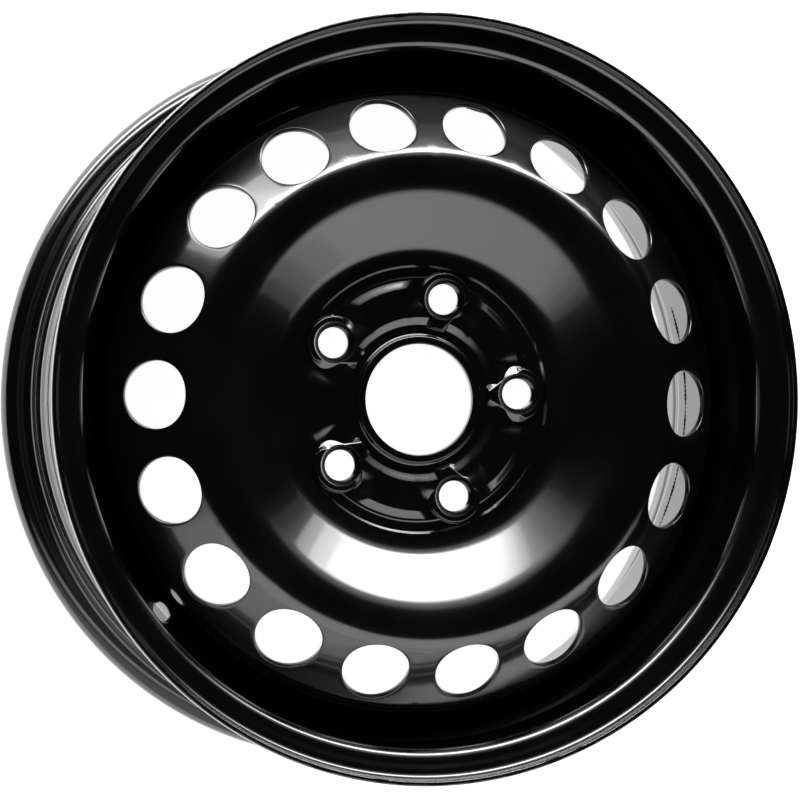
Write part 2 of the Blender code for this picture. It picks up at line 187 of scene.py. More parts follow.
flange_edge = SEAT_RADIUS + FLANGE_HEIGHT
well_radius = SEAT_RADIUS - WELL_DEPTH
ledge_radius = SEAT_RADIUS - LEDGE_DEPTH
flange = RIM_WIDTH / 2
lip_bend = flange + FLANGE_CURL * (1 + math.tan(FLANGE_LIP_TURN / 2))
lip = (flange_edge - FLANGE_CURL * (1 - math.cos(FLANGE_LIP_TURN)),
       flange + FLANGE_CURL * (1 + math.sin(FLANGE_LIP_TURN)))
seat = flange - SEAT_LENGTH
seat_end = SEAT_RADIUS - SEAT_LENGTH * math.tan(SEAT_TAPER)
hump_foot = seat - HUMP_LENGTH
hump = (seat_end + HUMP_RISE, (seat + hump_foot) / 2)
well_start = hump_foot - (seat_end - well_radius) / math.tan(SIDE_WALL_ANGLE)
well_end = well_start - WELL_LENGTH
ramp_end = well_end - (ledge_radius - well_radius) / math.tan(RAMP_ANGLE)
rim = lay_line("rim", bent([
    (*lip, 0.0), (flange_edge, lip_bend, FLANGE_CURL), (flange_edge, flange, FLANGE_CURL),
    (SEAT_RADIUS, flange, SEAT_CORNER), (seat_end, seat, HUMP_BEND), (*hump, HUMP_BEND),
    (seat_end, hump_foot, HUMP_BEND), (well_radius, well_start, WELL_BEND),
    (well_radius, well_end, WELL_BEND), (ledge_radius, ramp_end, WELL_BEND),
    (ledge_radius, -hump_foot, HUMP_BEND), (hump[0], -hump[1], HUMP_BEND),
    (seat_end, -seat, HUMP_BEND), (SEAT_RADIUS, -flange, SEAT_CORNER),
    (flange_edge, -flange, FLANGE_CURL), (flange_edge, -lip_bend, FLANGE_CURL),
    (lip[0], -lip[1], 0.0)]))
spin_round()
apply_modifier(rim, "SOLIDIFY", thickness=RIM_SHEET, offset=-1.0, use_even_offset=True)
apply_modifier(rim, "BEVEL", width=LIP_ROUNDING, segments=LIP_ROUNDING_STEPS,
               limit_method="ANGLE", angle_limit=LIP_CORNER)

# The valve hole is cut through the middle of the well's street-side wall, both edges broken
valve_radius = VALVE_HOLE / 2
valve_cutter = add_cutter([
    (0, CUTTER_OVERRUN), (valve_radius + CUTTER_OVERRUN, CUTTER_OVERRUN),
    (valve_radius + VALVE_EDGE, 0), (valve_radius, -VALVE_EDGE),
    (valve_radius, VALVE_EDGE - RIM_SHEET), (valve_radius + VALVE_EDGE, -RIM_SHEET),
    (valve_radius + CUTTER_OVERRUN, -RIM_SHEET - CUTTER_OVERRUN),
    (0, -RIM_SHEET - CUTTER_OVERRUN)])
wall_middle = ((seat_end + well_radius) / 2, (hump_foot + well_start) / 2)
valve_cutter.data.transform(
    Matrix.Rotation(VALVE_AZIMUTH, 4, "Z")
    @ Matrix.Translation((wall_middle[0], 0, wall_middle[1]))
    @ Matrix.Rotation(math.pi / 2 + SIDE_WALL_ANGLE + VALVE_LEAN, 4, "Y"))
combine(rim, "DIFFERENCE", valve_cutter)
shade_smooth(rim)
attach(rim, "root")
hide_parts("rim_barrel")


# Disc: one pressing of 5.5 mm sheet steel, drawn thinner towards its skirt, with a drawn collar
# round the centre bore, bosses with ball seats for five bolts and eighteen punched vent holes.
HUB_SHEET = 0.0055
SKIRT_SHEET = 0.0038
THINNING_START = 0.0850
THINNING_END = 0.1400
MOUNT_FACE = 0.0510
MOUNT_FACE_EDGE = 0.0075
BORE = 0.0320
BORE_LEAD_IN = 0.0050
COLLAR_WALL = 0.0048
COLLAR_RISE = 0.0035
COLLAR_FLARE = 0.0020
COLLAR_ROUNDING = 0.0009
PAD_RISE = 0.0026
PAD_INNER = 0.0430
PAD_INNER_RUN = 0.0048
PAD_OUTER = 0.0690
PAD_OUTER_RUN = 0.0046
PAD_LEDGE = 0.0703
PAD_LEDGE_RISE = 0.0003
PAD_FOOT = 0.0711
PAD_BEND = 0.0020
PAD_STEP_BEND = 0.0005
PAD_RUN_OUT = 0.0100
HOLLOW_SET_IN = 0.0020
PLATEAU_EDGE = 0.0765
PLATEAU_STEP = 0.0016
PLATEAU_STEP_RUN = 0.0012
DISH_FLOOR_ANGLE = math.radians(4.0)
DISH_ANGLE = math.radians(36.0)
DISH_BEND = 0.0200
CROWN_RADIUS = 0.1350
CROWN_RISE = 0.0355
CROWN_INNER_BEND = 0.0340
CROWN_OUTER_BEND = 0.0150
SKIRT_GAP = 0.00005
SKIRT_BEND = 0.0150
SKIRT_END = 0.0160
VENT_SLOPE = math.radians(36.5)
VENT_COUNT = 18
VENT_CIRCLE_RADIUS = 0.15865
VENT_HOLE = 0.0387
VENT_EDGE = 0.0007
VENT_EDGE_STEPS = 4
BAND_START_RADIUS = 0.1400
BAND_SURPLUS = 0.0005
BAND_CELLS = 12
BOLT_COUNT = 5
BOLT_CIRCLE_RADIUS = 0.0600
BOLT_HOLE = 0.0177
BOSS_RISE = 0.0031
BOSS_OUTER_TOP = 0.0151
BOSS_OUTER_RUN = 0.0010
BOSS_OUTER_TURN = math.radians(72.0)
BOSS_INNER_TOP = 0.0116
BOSS_INNER_RUN = 0.0046
BOSS_INNER_TURN = math.radians(95.0)
BOSS_NOSE_TURN = math.radians(137.0)
BOSS_NOSE_TOP = (0.0175, 0.0025)
BOSS_NOSE_FOOT = (0.0186, 0.0052)
BOSS_NOSE_SHARES = (0.33, 0.67, 1.0)
BOSS_STEPS = 56
BOSS_EDGE = 0.0007
BOSS_EDGE_STEPS = 4
BOSS_SUNK = 0.0005
SEAT_BALL = 0.0140
SEAT_LAND = 0.0016
SEAT_BALL_END = math.radians(75.0)
SEAT_STEPS = 16
SEAT_CUTTER_START = 0.0030
SHELL_FACET = math.radians(1.0)
RELIEF_FACET = math.radians(9.0)
# How far apart the mesh's rows lie, on the front and on the back of the sheet
DISH_ROWS = (0.0025, 0.0040)
HUB_ROWS = (0.0016, 0.0030)
SKIRT_BEND_ROWS = (0.0015, 0.0030)
SKIRT_WALL_ROWS = 0.0100

plateau = MOUNT_FACE + HUB_SHEET
dish_floor = plateau + PLATEAU_STEP
crown_top = MOUNT_FACE + CROWN_RISE
step_end = PLATEAU_EDGE + PLATEAU_STEP_RUN
crown_in = CROWN_RADIUS - CROWN_INNER_BEND * math.tan(DISH_ANGLE / 2)
crown_out = CROWN_RADIUS + CROWN_OUTER_BEND * math.tan(VENT_SLOPE / 2)
skirt_outside = well_radius - RIM_SHEET - SKIRT_GAP


def crossing(a, way_a, b, way_b):
    """Where the line through a along way_a meets the line through b along way_b."""
    ca, sa, cb, sb = math.cos(way_a), math.sin(way_a), math.cos(way_b), math.sin(way_b)
    along = ((b[0] - a[0]) * sb - (b[1] - a[1]) * cb) / (ca * sb - sa * cb)
    return a[0] + along * ca, a[1] + along * sa


# The shell is the front of the sheet from the foot of the dish over the crown to the skirt's end
dish_corner = crossing((step_end, dish_floor), DISH_FLOOR_ANGLE, (crown_in, crown_top), DISH_ANGLE)
skirt_corner = crossing((crown_out, crown_top), -VENT_SLOPE, (skirt_outside, 0), math.pi / 2)
shell_line = bent([
    (step_end, dish_floor, 0.0), (*dish_corner, DISH_BEND),
    (crown_in, crown_top, CROWN_INNER_BEND), (crown_out, crown_top, CROWN_OUTER_BEND),
    (*skirt_corner, SKIRT_BEND), (skirt_outside, SKIRT_END, 0.0)], SHELL_FACET)
shell_run = [0.0]
for here, there in zip(shell_line, shell_line[1:]):
    shell_run.append(shell_run[-1] + math.dist(here, there))
shell_end = shell_run[-1]


def run_at(radius):
    """How far along the shell's line it reaches this radius."""
    for k, (here, there) in enumerate(zip(shell_line, shell_line[1:])):
        if here[0] <= radius < there[0]:
            share = (radius - here[0]) / (there[0] - here[0])
            return shell_run[k] + share * (shell_run[k + 1] - shell_run[k])
    return shell_end


def sheet(radius):
    share = (radius - THINNING_START) / (THINNING_END - THINNING_START)
    return HUB_SHEET + (SKIRT_SHEET - HUB_SHEET) * min(1.0, max(0.0, share))


def on_shell(run, depth):
    """(radius, height) at a run along the front of the shell and a depth in sheets behind it."""
    run = min(max(run, 0.0), shell_end)
    last = len(shell_line) - 2
    k = next((n for n in range(last) if shell_run[n + 1] > run), last)
    share = (run - shell_run[k]) / (shell_run[k + 1] - shell_run[k])
    before, here, there, after = (shell_line[min(max(k + n, 0), last + 1)] for n in (-1, 0, 1, 2))
    way = [(there[n] - before[n]) * (1 - share) + (after[n] - here[n]) * share for n in (0, 1)]
    behind = depth * sheet(here[0]) / math.hypot(*way)
    return (here[0] + share * (there[0] - here[0]) + way[1] * behind,
            here[1] + share * (there[1] - here[1]) - way[0] * behind)


def shell_rows(start, end, depth, spacing):
    """Evenly spaced points of the shell from one run to another."""
    count = max(1, round(abs(end - start) / spacing))
    return [on_shell(start + (end - start) * k / count, depth) for k in range(count + 1)]


def fill_rows(points, spacing):
    """The same line with its long stretches divided."""
    filled = points[:1]
    for here, there in zip(points, points[1:]):
        count = max(1, math.ceil(math.dist(here, there) / spacing))
        filled += [(here[0] + (there[0] - here[0]) * k / count,
                    here[1] + (there[1] - here[1]) * k / count) for k in range(1, count + 1)]
    return filled


vent_run = run_at(VENT_CIRCLE_RADIUS)
band_start = run_at(BAND_START_RADIUS)
band_end = 2 * vent_run - band_start + BAND_SURPLUS
pad_top_inner = PAD_INNER + PAD_INNER_RUN
pad_top_outer = PAD_OUTER - PAD_OUTER_RUN
mount_face_start = (BORE + MOUNT_FACE_EDGE, MOUNT_FACE, 0.0)
front_line = bent([
    (PLATEAU_EDGE, plateau, 0.0), (PAD_FOOT, plateau, PAD_STEP_BEND),
    (PAD_LEDGE, plateau + PAD_LEDGE_RISE, PAD_STEP_BEND),
    (PAD_OUTER, plateau + PAD_LEDGE_RISE, PAD_STEP_BEND),
    (pad_top_outer, plateau + PAD_RISE, PAD_BEND), (pad_top_inner, plateau + PAD_RISE, PAD_BEND),
    (PAD_INNER, plateau, PAD_BEND), (BORE + COLLAR_WALL, plateau, COLLAR_FLARE),
    (BORE + COLLAR_WALL, plateau + COLLAR_RISE, COLLAR_ROUNDING),
    (BORE, plateau + COLLAR_RISE, COLLAR_ROUNDING), (BORE, MOUNT_FACE, BORE_LEAD_IN),
    mount_face_start], RELIEF_FACET)
back_line = bent([
    mount_face_start, (PAD_INNER + HOLLOW_SET_IN, MOUNT_FACE, PAD_BEND),
    (pad_top_inner + HOLLOW_SET_IN, MOUNT_FACE + PAD_RISE, PAD_BEND),
    (pad_top_outer - HOLLOW_SET_IN, MOUNT_FACE + PAD_RISE, PAD_BEND),
    (PAD_OUTER - HOLLOW_SET_IN, MOUNT_FACE, PAD_BEND), (PLATEAU_EDGE, MOUNT_FACE, 0.0)])
disc = lay_line("disc", shell_rows(band_start, 0, 0, DISH_ROWS[0])
                + fill_rows(front_line, HUB_ROWS[0]) + fill_rows(back_line[1:], HUB_ROWS[1])
                + shell_rows(0, band_start, 1, DISH_ROWS[1]))
spin_round()


def rise(share):
    """A smooth step from 0 to 1."""
    share = min(1.0, max(0.0, share))
    return share * share * (3 - 2 * share)


def pad_share(radius, azimuth):
    """How much of its height a pad keeps here: it runs out towards the foot of each boss."""
    turn = math.remainder(azimuth - VALVE_AZIMUTH, math.tau / BOLT_COUNT)
    outward = radius * math.cos(turn) - BOLT_CIRCLE_RADIUS
    aside = abs(radius * math.sin(turn))
    clear = math.hypot(outward, aside) - BOSS_INNER_TOP - BOSS_INNER_RUN
    beside_nose = (math.atan2(aside, outward) - BOSS_INNER_TURN) / (BOSS_NOSE_TURN - BOSS_INNER_TURN)
    return max(rise(clear / PAD_RUN_OUT), rise(beside_nose))


for vert in disc.data.vertices:
    radius = math.hypot(vert.co.x, vert.co.y)
    if PAD_INNER - PAD_BEND < radius < PLATEAU_EDGE - MERGE:
        level = plateau if vert.co.z > (plateau + MOUNT_FACE) / 2 else MOUNT_FACE
        share = pad_share(radius, math.atan2(vert.co.y, vert.co.x))
        keep = PAD_LEDGE_RISE if radius > PAD_OUTER and level == plateau else 0.0
        height = vert.co.z - level
        vert.co.z = level + min(height, keep) + max(0.0, height - keep) * share

skirt_bend_end = shell_end - (skirt_corner[1] - SKIRT_END - SKIRT_BEND)
skirt = lay_line("skirt", shell_rows(band_end, skirt_bend_end, 0, SKIRT_BEND_ROWS[0])
                 + shell_rows(skirt_bend_end, shell_end, 0, SKIRT_WALL_ROWS)[1:]
                 + shell_rows(shell_end, skirt_bend_end, 1, SKIRT_WALL_ROWS)
                 + shell_rows(skirt_bend_end, band_end, 1, SKIRT_BEND_ROWS[1])[1:])
spin_round()

# The vent band is modelled flat, one eighteenth of it, as a grid whose inside gives way to a hole
pitch_cells = TURN_STEPS // VENT_COUNT
pitch_angle = math.tau / VENT_COUNT
band_length = band_end - band_start
band_middle = (band_start + band_end) / 2
hole_place = vent_run - band_middle
bpy.ops.object.select_all(action="DESELECT")
bpy.ops.mesh.primitive_grid_add(x_subdivisions=BAND_CELLS, y_subdivisions=pitch_cells, size=1)
patch = bpy.context.object
points = patch.data.vertices
for vert in points:
    radius = on_shell(band_middle + vert.co.x * band_length, 0)[0]
    vert.co = (vert.co.x * band_length, vert.co.y * pitch_angle * radius, 0)
inside = [0 < n % (BAND_CELLS + 1) < BAND_CELLS and 0 < n // (BAND_CELLS + 1) < pitch_cells
          for n in range(len(points))]
bpy.ops.object.mode_set(mode="EDIT")
bpy.ops.mesh.select_mode(type="VERT")
select_all("DESELECT")
bpy.ops.object.mode_set(mode="OBJECT")
patch.data.vertices.foreach_set("select", inside)
bpy.ops.object.mode_set(mode="EDIT")
bpy.ops.mesh.delete(type="VERT")
bpy.ops.mesh.primitive_circle_add(vertices=2 * (BAND_CELLS + pitch_cells), radius=VENT_HOLE / 2,
                                  location=(hole_place, 0, 0))
select_all("SELECT")
bpy.ops.mesh.bridge_edge_loops(number_cuts=4, interpolation="LINEAR")
bpy.ops.mesh.normals_make_consistent(inside=False)
bpy.ops.object.mode_set(mode="OBJECT")
up = patch.data.polygons[0].normal.z > 0
apply_modifier(patch, "SOLIDIFY", thickness=SKIRT_SHEET, offset=-1.0 if up else 1.0)

# It loses its outer side faces, where the next pieces join it, and its hole's edges are rounded
bpy.ops.object.mode_set(mode="EDIT")
select_all("DESELECT")
bpy.ops.mesh.select_mode(type="FACE")
bpy.ops.object.mode_set(mode="OBJECT")
for face in patch.data.polygons:
    upright = abs(face.normal.z) < 0.5
    offset = math.hypot(face.center.x - hole_place, face.center.y)
    face.select = upright and offset > VENT_HOLE / 2 + VENT_EDGE
bpy.ops.object.mode_set(mode="EDIT")
bpy.ops.mesh.delete(type="FACE")
select_all("DESELECT")
bpy.ops.mesh.select_mode(type="EDGE")
bpy.ops.object.mode_set(mode="OBJECT")
points = patch.data.vertices
for edge in patch.data.edges:
    ends = [points[n].co for n in edge.vertices]
    on_hole = all(abs(math.hypot(p.x - hole_place, p.y) - VENT_HOLE / 2) < MERGE for p in ends)
    edge.select = on_hole and abs(ends[0].z - ends[1].z) < MERGE
bpy.ops.object.mode_set(mode="EDIT")
bpy.ops.mesh.bevel(offset=VENT_EDGE, segments=VENT_EDGE_STEPS, affect="EDGES")
bpy.ops.object.mode_set(mode="OBJECT")

# It is then laid on the shell and copied round, and the band joins the disc's two other pieces
points = patch.data.vertices
bottom = min(vert.co.z for vert in points)
top = max(vert.co.z for vert in points)
for vert in points:
    run = band_middle + vert.co.x
    turn = VALVE_AZIMUTH + vert.co.y / on_shell(run, 0)[0]
    radius, height = on_shell(run, (top - vert.co.z) / (top - bottom))
    vert.co = (radius * math.cos(turn), radius * math.sin(turn), height)


def copy_round(piece, count):
    """Copies the piece round the spin axis, each copy with its own mesh, and selects them all."""
    bpy.ops.object.select_all(action="DESELECT")
    piece.select_set(True)
    for k in range(1, count):
        copy = piece.copy()
        copy.data = piece.data.copy()
        copy.data.transform(Matrix.Rotation(math.tau * k / count, 4, "Z"))
        bpy.context.collection.objects.link(copy)
        copy.select_set(True)


copy_round(patch, VENT_COUNT)
skirt.select_set(True)
disc.select_set(True)
bpy.context.view_layer.objects.active = disc
bpy.ops.object.join()
bpy.ops.object.mode_set(mode="EDIT")
select_all("SELECT")
bpy.ops.mesh.remove_doubles(threshold=MERGE)
turn_faces_out()


def boss_plan(azimuth):
    """Top edge and foot (two points, from the bolt's axis outwards) of a boss at this azimuth."""
    share = rise((abs(azimuth) - BOSS_OUTER_TURN) / (BOSS_INNER_TURN - BOSS_OUTER_TURN))
    top = BOSS_OUTER_TOP + (BOSS_INNER_TOP - BOSS_OUTER_TOP) * share
    run = BOSS_OUTER_RUN + (BOSS_INNER_RUN - BOSS_OUTER_RUN) * share
    way = Vector((math.cos(azimuth), math.sin(azimuth)))
    return way * top, way * (top + run)


def boss_points():
    """The plan of a boss, round its top edge and its foot: an arc, and a nose towards the bore."""
    plan = [boss_plan(BOSS_NOSE_TURN * (2 * k / BOSS_STEPS - 1)) for k in range(BOSS_STEPS + 1)]
    for side in (1, -1):
        corner = [Vector((-reach, side * half)) for reach, half in (BOSS_NOSE_TOP, BOSS_NOSE_FOOT)]
        arc_end = plan[BOSS_STEPS if side == 1 else 0]
        flank = [[a.lerp(b, share) for a, b in zip(arc_end, corner)]
                 for share in BOSS_NOSE_SHARES]
        plan += flank if side == 1 else flank[::-1]
    return plan


def boss_levels(top, foot):
    """Points (place, height) up the boss's flank, from just below its foot over its round edge."""
    slope = foot - top
    length = math.hypot(slope.length, BOSS_RISE)
    below = (top + slope * (BOSS_EDGE / length), BOSS_RISE * (1 - BOSS_EDGE / length))
    within = (top - slope.normalized() * BOSS_EDGE, BOSS_RISE)
    levels = [(foot + slope * (BOSS_SUNK / BOSS_RISE), -BOSS_SUNK)]
    for k in range(BOSS_EDGE_STEPS + 1):
        share = k / BOSS_EDGE_STEPS
        weights = ((1 - share) ** 2, 2 * share * (1 - share), share ** 2)
        corners = (below, (top, BOSS_RISE), within)
        levels.append((sum((w * c[0] for w, c in zip(weights, corners)), Vector((0, 0))),
                       sum(w * c[1] for w, c in zip(weights, corners))))
    return levels


def at_each_bolt(tool):
    """The tool, modelled round the axis of a bolt, copied to all five and made one."""
    tool.data.transform(Matrix.Translation((BOLT_CIRCLE_RADIUS, 0, 0)))
    copy_round(tool, BOLT_COUNT)
    bpy.context.view_layer.objects.active = tool
    bpy.ops.object.join()
    tool.data.transform(Matrix.Rotation(VALVE_AZIMUTH, 4, "Z"))
    return tool


def add_bosses(base, set_in):
    """Five bosses in one piece, standing at this height; set_in makes them narrower all round."""
    rings = [boss_levels(top, foot) for top, foot in boss_points()]
    bpy.ops.object.select_all(action="DESELECT")
    bpy.ops.mesh.primitive_circle_add(vertices=len(rings), radius=BOSS_INNER_TOP)
    boss = bpy.context.object
    boss.name = boss.data.name = "boss"
    bpy.ops.object.mode_set(mode="EDIT")
    for level in range(1, len(rings[0])):
        bpy.ops.mesh.primitive_circle_add(vertices=len(rings), radius=BOSS_INNER_TOP,
                                          location=(0, 0, level * BOSS_EDGE))
    bpy.ops.object.mode_set(mode="OBJECT")
    for n, vert in enumerate(boss.data.vertices):
        level, k = divmod(n, len(rings))
        point, height = rings[k][level]
        point = point * (1 - set_in / point.length)
        vert.co = (point.x, point.y, base + height)
    bpy.ops.object.mode_set(mode="EDIT")
    select_all("SELECT")
    bpy.ops.mesh.bridge_edge_loops()
    select_all("SELECT")
    bpy.ops.mesh.fill_holes(sides=0)
    turn_faces_out()
    return at_each_bolt(boss)


throat = BOLT_HOLE / 2
ball_height = MOUNT_FACE + BOSS_RISE + SEAT_LAND + math.sqrt(SEAT_BALL ** 2 - throat ** 2)
ball_start = math.asin(throat / SEAT_BALL)
seat_arc = [ball_start + (SEAT_BALL_END - ball_start) * k / SEAT_STEPS
            for k in range(SEAT_STEPS + 1)]
seat_bottom = MOUNT_FACE - SEAT_CUTTER_START
seat_outline = [(0, seat_bottom), (throat, seat_bottom)]
seat_outline += [(SEAT_BALL * math.sin(a), ball_height - SEAT_BALL * math.cos(a)) for a in seat_arc]
seat_outline += [(0, seat_outline[-1][1])]
combine(disc, "UNION", add_bosses(plateau, 0.0))
combine(disc, "DIFFERENCE", add_bosses(MOUNT_FACE, HOLLOW_SET_IN))
combine(disc, "DIFFERENCE", at_each_bolt(add_cutter(seat_outline)))
shade_smooth(disc)
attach(disc, "root")
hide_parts("wheel_disc")


# Seams: four fillet welds between the skirt's edge and the inside of the well, laid by wire
# from the inboard side, so that each bead is rippled and starts and ends in a rounded tail.
SEAM_COUNT = 4
SEAM_SPAN = math.radians(50.0)
SEAM_LEG = 0.0043
SEAM_BULGE = 0.0005
SEAM_FRONT_STEPS = 8
SEAM_STEPS = 300
SEAM_RIPPLE = 0.0026
SEAM_RIPPLE_DEPTH = 0.09
SEAM_RIPPLE_ARCH = 0.45
SEAM_RIPPLE_LEVEL = 0.7
SEAM_WANDER = 0.05
SEAM_WANDER_RATES = (310.0, 130.0)
SEAM_TAIL = 0.0060
SEAM_TAIL_SIZE = 0.35

seam_root = (well_radius - RIM_SHEET, SKIRT_END)
seam_front = []
for k in range(SEAM_FRONT_STEPS + 1):
    share = k / SEAM_FRONT_STEPS
    swell = SEAM_BULGE * math.sin(math.pi * share)
    seam_front.append((seam_root[0] - SEAM_LEG * share - swell,
                       seam_root[1] - SEAM_LEG * (1 - share) - swell))


def bead_size(along, across, length, number):
    """The bead's size as a share of the plain fillet, from the arc's ripples, wander and tails."""
    ripple = (along / SEAM_RIPPLE + SEAM_RIPPLE_ARCH * across * across) % 1.0
    size = 1 + SEAM_RIPPLE_DEPTH * (ripple * (1 - ripple) * 4 - SEAM_RIPPLE_LEVEL)
    quick, slow = SEAM_WANDER_RATES
    size += SEAM_WANDER * math.sin(along * quick + number) * math.sin(along * slow + 2 * number)
    tail = min(1.0, min(along, length - along) / SEAM_TAIL)
    round_end = math.sqrt(max(0.0, 1 - (1 - tail) ** 2))
    return size * (SEAM_TAIL_SIZE + (1 - SEAM_TAIL_SIZE) * round_end)


seams = []
for number in range(SEAM_COUNT):
    seam = lay_line(f"disc_seam_{number + 1}", [seam_root] + seam_front, closed=True)
    select_all("SELECT")
    bpy.ops.mesh.spin(steps=SEAM_STEPS, angle=SEAM_SPAN, center=(0, 0, 0), axis=(0, 0, 1))
    select_all("SELECT")
    bpy.ops.mesh.fill_holes(sides=0)
    turn_faces_out()
    span = [math.atan2(vert.co.y, vert.co.x) for vert in seam.data.vertices]
    start, length = min(span), (max(span) - min(span)) * seam_root[0]
    for vert, azimuth in zip(seam.data.vertices, span):
        inward = seam_root[0] - math.hypot(vert.co.x, vert.co.y)
        down = seam_root[1] - vert.co.z
        along = (azimuth - start) * seam_root[0]
        size = bead_size(along, (inward - down) / SEAM_LEG, length, number)
        radius = seam_root[0] - inward * size
        vert.co = (radius * math.cos(azimuth), radius * math.sin(azimuth),
                   seam_root[1] - down * size)
    seam_turn = (VALVE_AZIMUTH + math.tau * number / SEAM_COUNT + math.pi / SEAM_COUNT
                 - start - SEAM_SPAN / 2)
    seam.data.transform(Matrix.Rotation(seam_turn, 4, "Z"))
    shade_smooth(seam)
    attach(seam, "root")
    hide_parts(f"disc_weld_{number + 1}")
    seams.append(seam)


# Paint: the welded wheel is dipped in black primer and sprayed with a semi-gloss black top coat.
# The film is clear-edged and level, with a fine orange peel, duller where the spray lay thin.
MIST_SIZE = 0.0550
MIST_RANGE = (0.35, 0.65)
PEEL_SIZE = 0.0022
PEEL_HEIGHT = 0.0000035
NIB_SIZE = 0.0060
NIB_RADIUS = 0.05
PAINT_DARK = (0.0012, 0.0012, 0.0014, 1.0)
PAINT_LIGHT = (0.0024, 0.0024, 0.0027, 1.0)
PAINT_ROUGHNESS = 0.17
PAINT_SPREAD = 0.04
PAINT_NIBS = 0.3
TOP_COAT_ROUGHNESS = 0.07
PAINT_IOR = 1.6
WELD_DARK = (0.0020, 0.0019, 0.0018, 1.0)
WELD_LIGHT = (0.0060, 0.0054, 0.0048, 1.0)
WELD_ROUGHNESS = 0.34
WELD_SPREAD = 0.15
WELD_PEEL = 3.0
WELD_NIBS = 2.0

film = bpy.data.node_groups.new("sprayed_film", "ShaderNodeTree")
film.interface.new_socket("Place", in_out="INPUT", socket_type="NodeSocketVector")
for socket, kind, value in (("Dark", "NodeSocketColor", PAINT_DARK),
                            ("Light", "NodeSocketColor", PAINT_LIGHT),
                            ("Roughness", "NodeSocketFloat", PAINT_ROUGHNESS),
                            ("Spread", "NodeSocketFloat", PAINT_SPREAD),
                            ("Peel", "NodeSocketFloat", 1.0),
                            ("Nibs", "NodeSocketFloat", PAINT_NIBS)):
    item = film.interface.new_socket(socket, in_out="INPUT", socket_type=kind)
    item.default_value = value
for socket, kind in (("Color", "NodeSocketColor"), ("Roughness", "NodeSocketFloat"),
                     ("Height", "NodeSocketFloat")):
    film.interface.new_socket(socket, in_out="OUTPUT", socket_type=kind)


def feed(tree, node, inputs):
    """Gives a node its inputs, each a plain value or another node's output."""
    for key, value in inputs.items():
        if isinstance(value, bpy.types.NodeSocket):
            tree.links.new(value, node.inputs[key])
        else:
            node.inputs[key].default_value = value


def new_node(tree, kind, inputs, **settings):
    node = tree.nodes.new(kind)
    for key, value in settings.items():
        setattr(node, key, value)
    feed(tree, node, inputs)
    return node


# In a Mix node of colours, inputs 6 and 7 and output 2 are the coloured ones
given = new_node(film, "NodeGroupInput", {})
mist = new_node(film, "ShaderNodeTexNoise", {
    "Vector": given.outputs["Place"], "Scale": 1 / MIST_SIZE, "Detail": 3.0, "Roughness": 0.6})
thin_coat = new_node(film, "ShaderNodeMapRange", {
    "Value": mist.outputs["Fac"], "From Min": MIST_RANGE[0], "From Max": MIST_RANGE[1]})
shade = new_node(film, "ShaderNodeMix", {
    "Factor": thin_coat.outputs["Result"], 6: given.outputs["Dark"],
    7: given.outputs["Light"]}, data_type="RGBA")
dulled = new_node(film, "ShaderNodeMath", {
    0: thin_coat.outputs["Result"], 1: given.outputs["Spread"], 2: given.outputs["Roughness"]},
    operation="MULTIPLY_ADD")
peel = new_node(film, "ShaderNodeTexNoise", {
    "Vector": given.outputs["Place"], "Scale": 1 / PEEL_SIZE, "Detail": 1.0})
nibs = new_node(film, "ShaderNodeTexVoronoi", {
    "Vector": given.outputs["Place"], "Scale": 1 / NIB_SIZE})
nib = new_node(film, "ShaderNodeMapRange", {
    "Value": nibs.outputs["Distance"], "From Min": 0.0, "From Max": NIB_RADIUS, "To Min": 1.0,
    "To Max": 0.0}, interpolation_type="SMOOTHSTEP")
peel_height = new_node(film, "ShaderNodeMath", {
    0: peel.outputs["Fac"], 1: given.outputs["Peel"]}, operation="MULTIPLY")
film_height = new_node(film, "ShaderNodeMath", {
    0: nib.outputs["Result"], 1: given.outputs["Nibs"], 2: peel_height.outputs["Value"]},
    operation="MULTIPLY_ADD")
new_node(film, "NodeGroupOutput", {
    "Color": shade.outputs[2], "Roughness": dulled.outputs["Value"],
    "Height": film_height.outputs["Value"]})


def paint(pieces, name, **film_inputs):
    """Semi-gloss black on steel, with the sprayed film's own values for these pieces."""
    material = bpy.data.materials.new(name)
    material.use_nodes = True
    tree = material.node_tree
    place = new_node(tree, "ShaderNodeTexCoord", {})
    coat = new_node(tree, "ShaderNodeGroup", {"Place": place.outputs["Object"], **film_inputs},
                    node_tree=film)
    bump = new_node(tree, "ShaderNodeBump", {
        "Height": coat.outputs["Height"], "Strength": 1.0, "Distance": PEEL_HEIGHT})
    feed(tree, tree.nodes["Principled BSDF"], {
        "Base Color": coat.outputs["Color"], "Roughness": coat.outputs["Roughness"],
        "Normal": bump.outputs["Normal"], "IOR": PAINT_IOR, "Coat Weight": 1.0,
        "Coat Roughness": TOP_COAT_ROUGHNESS, "Coat IOR": PAINT_IOR})
    for piece in pieces:
        piece.data.materials.clear()
        piece.data.materials.append(material)


paint((rim, disc), "semi_gloss_black")
paint(seams, "painted_seam", Dark=WELD_DARK, Light=WELD_LIGHT, Roughness=WELD_ROUGHNESS,
      Spread=WELD_SPREAD, Peel=WELD_PEEL, Nibs=WELD_NIBS)


# Floor: a plain white sheet that the wheel lies on, as bare as the photograph's background.
# The camera and the wheel's mirrors see it lit from behind, so hardly any shadow is left on it.
FLOOR_SIZE = 12.0
FLOOR_DROP = 0.0001
FLOOR_WHITE = (0.9, 0.9, 0.9, 1.0)
FLOOR_ROUGHNESS = 0.8
FLOOR_GLOW = 0.93
PURE_WHITE = (1.0, 1.0, 1.0, 1.0)

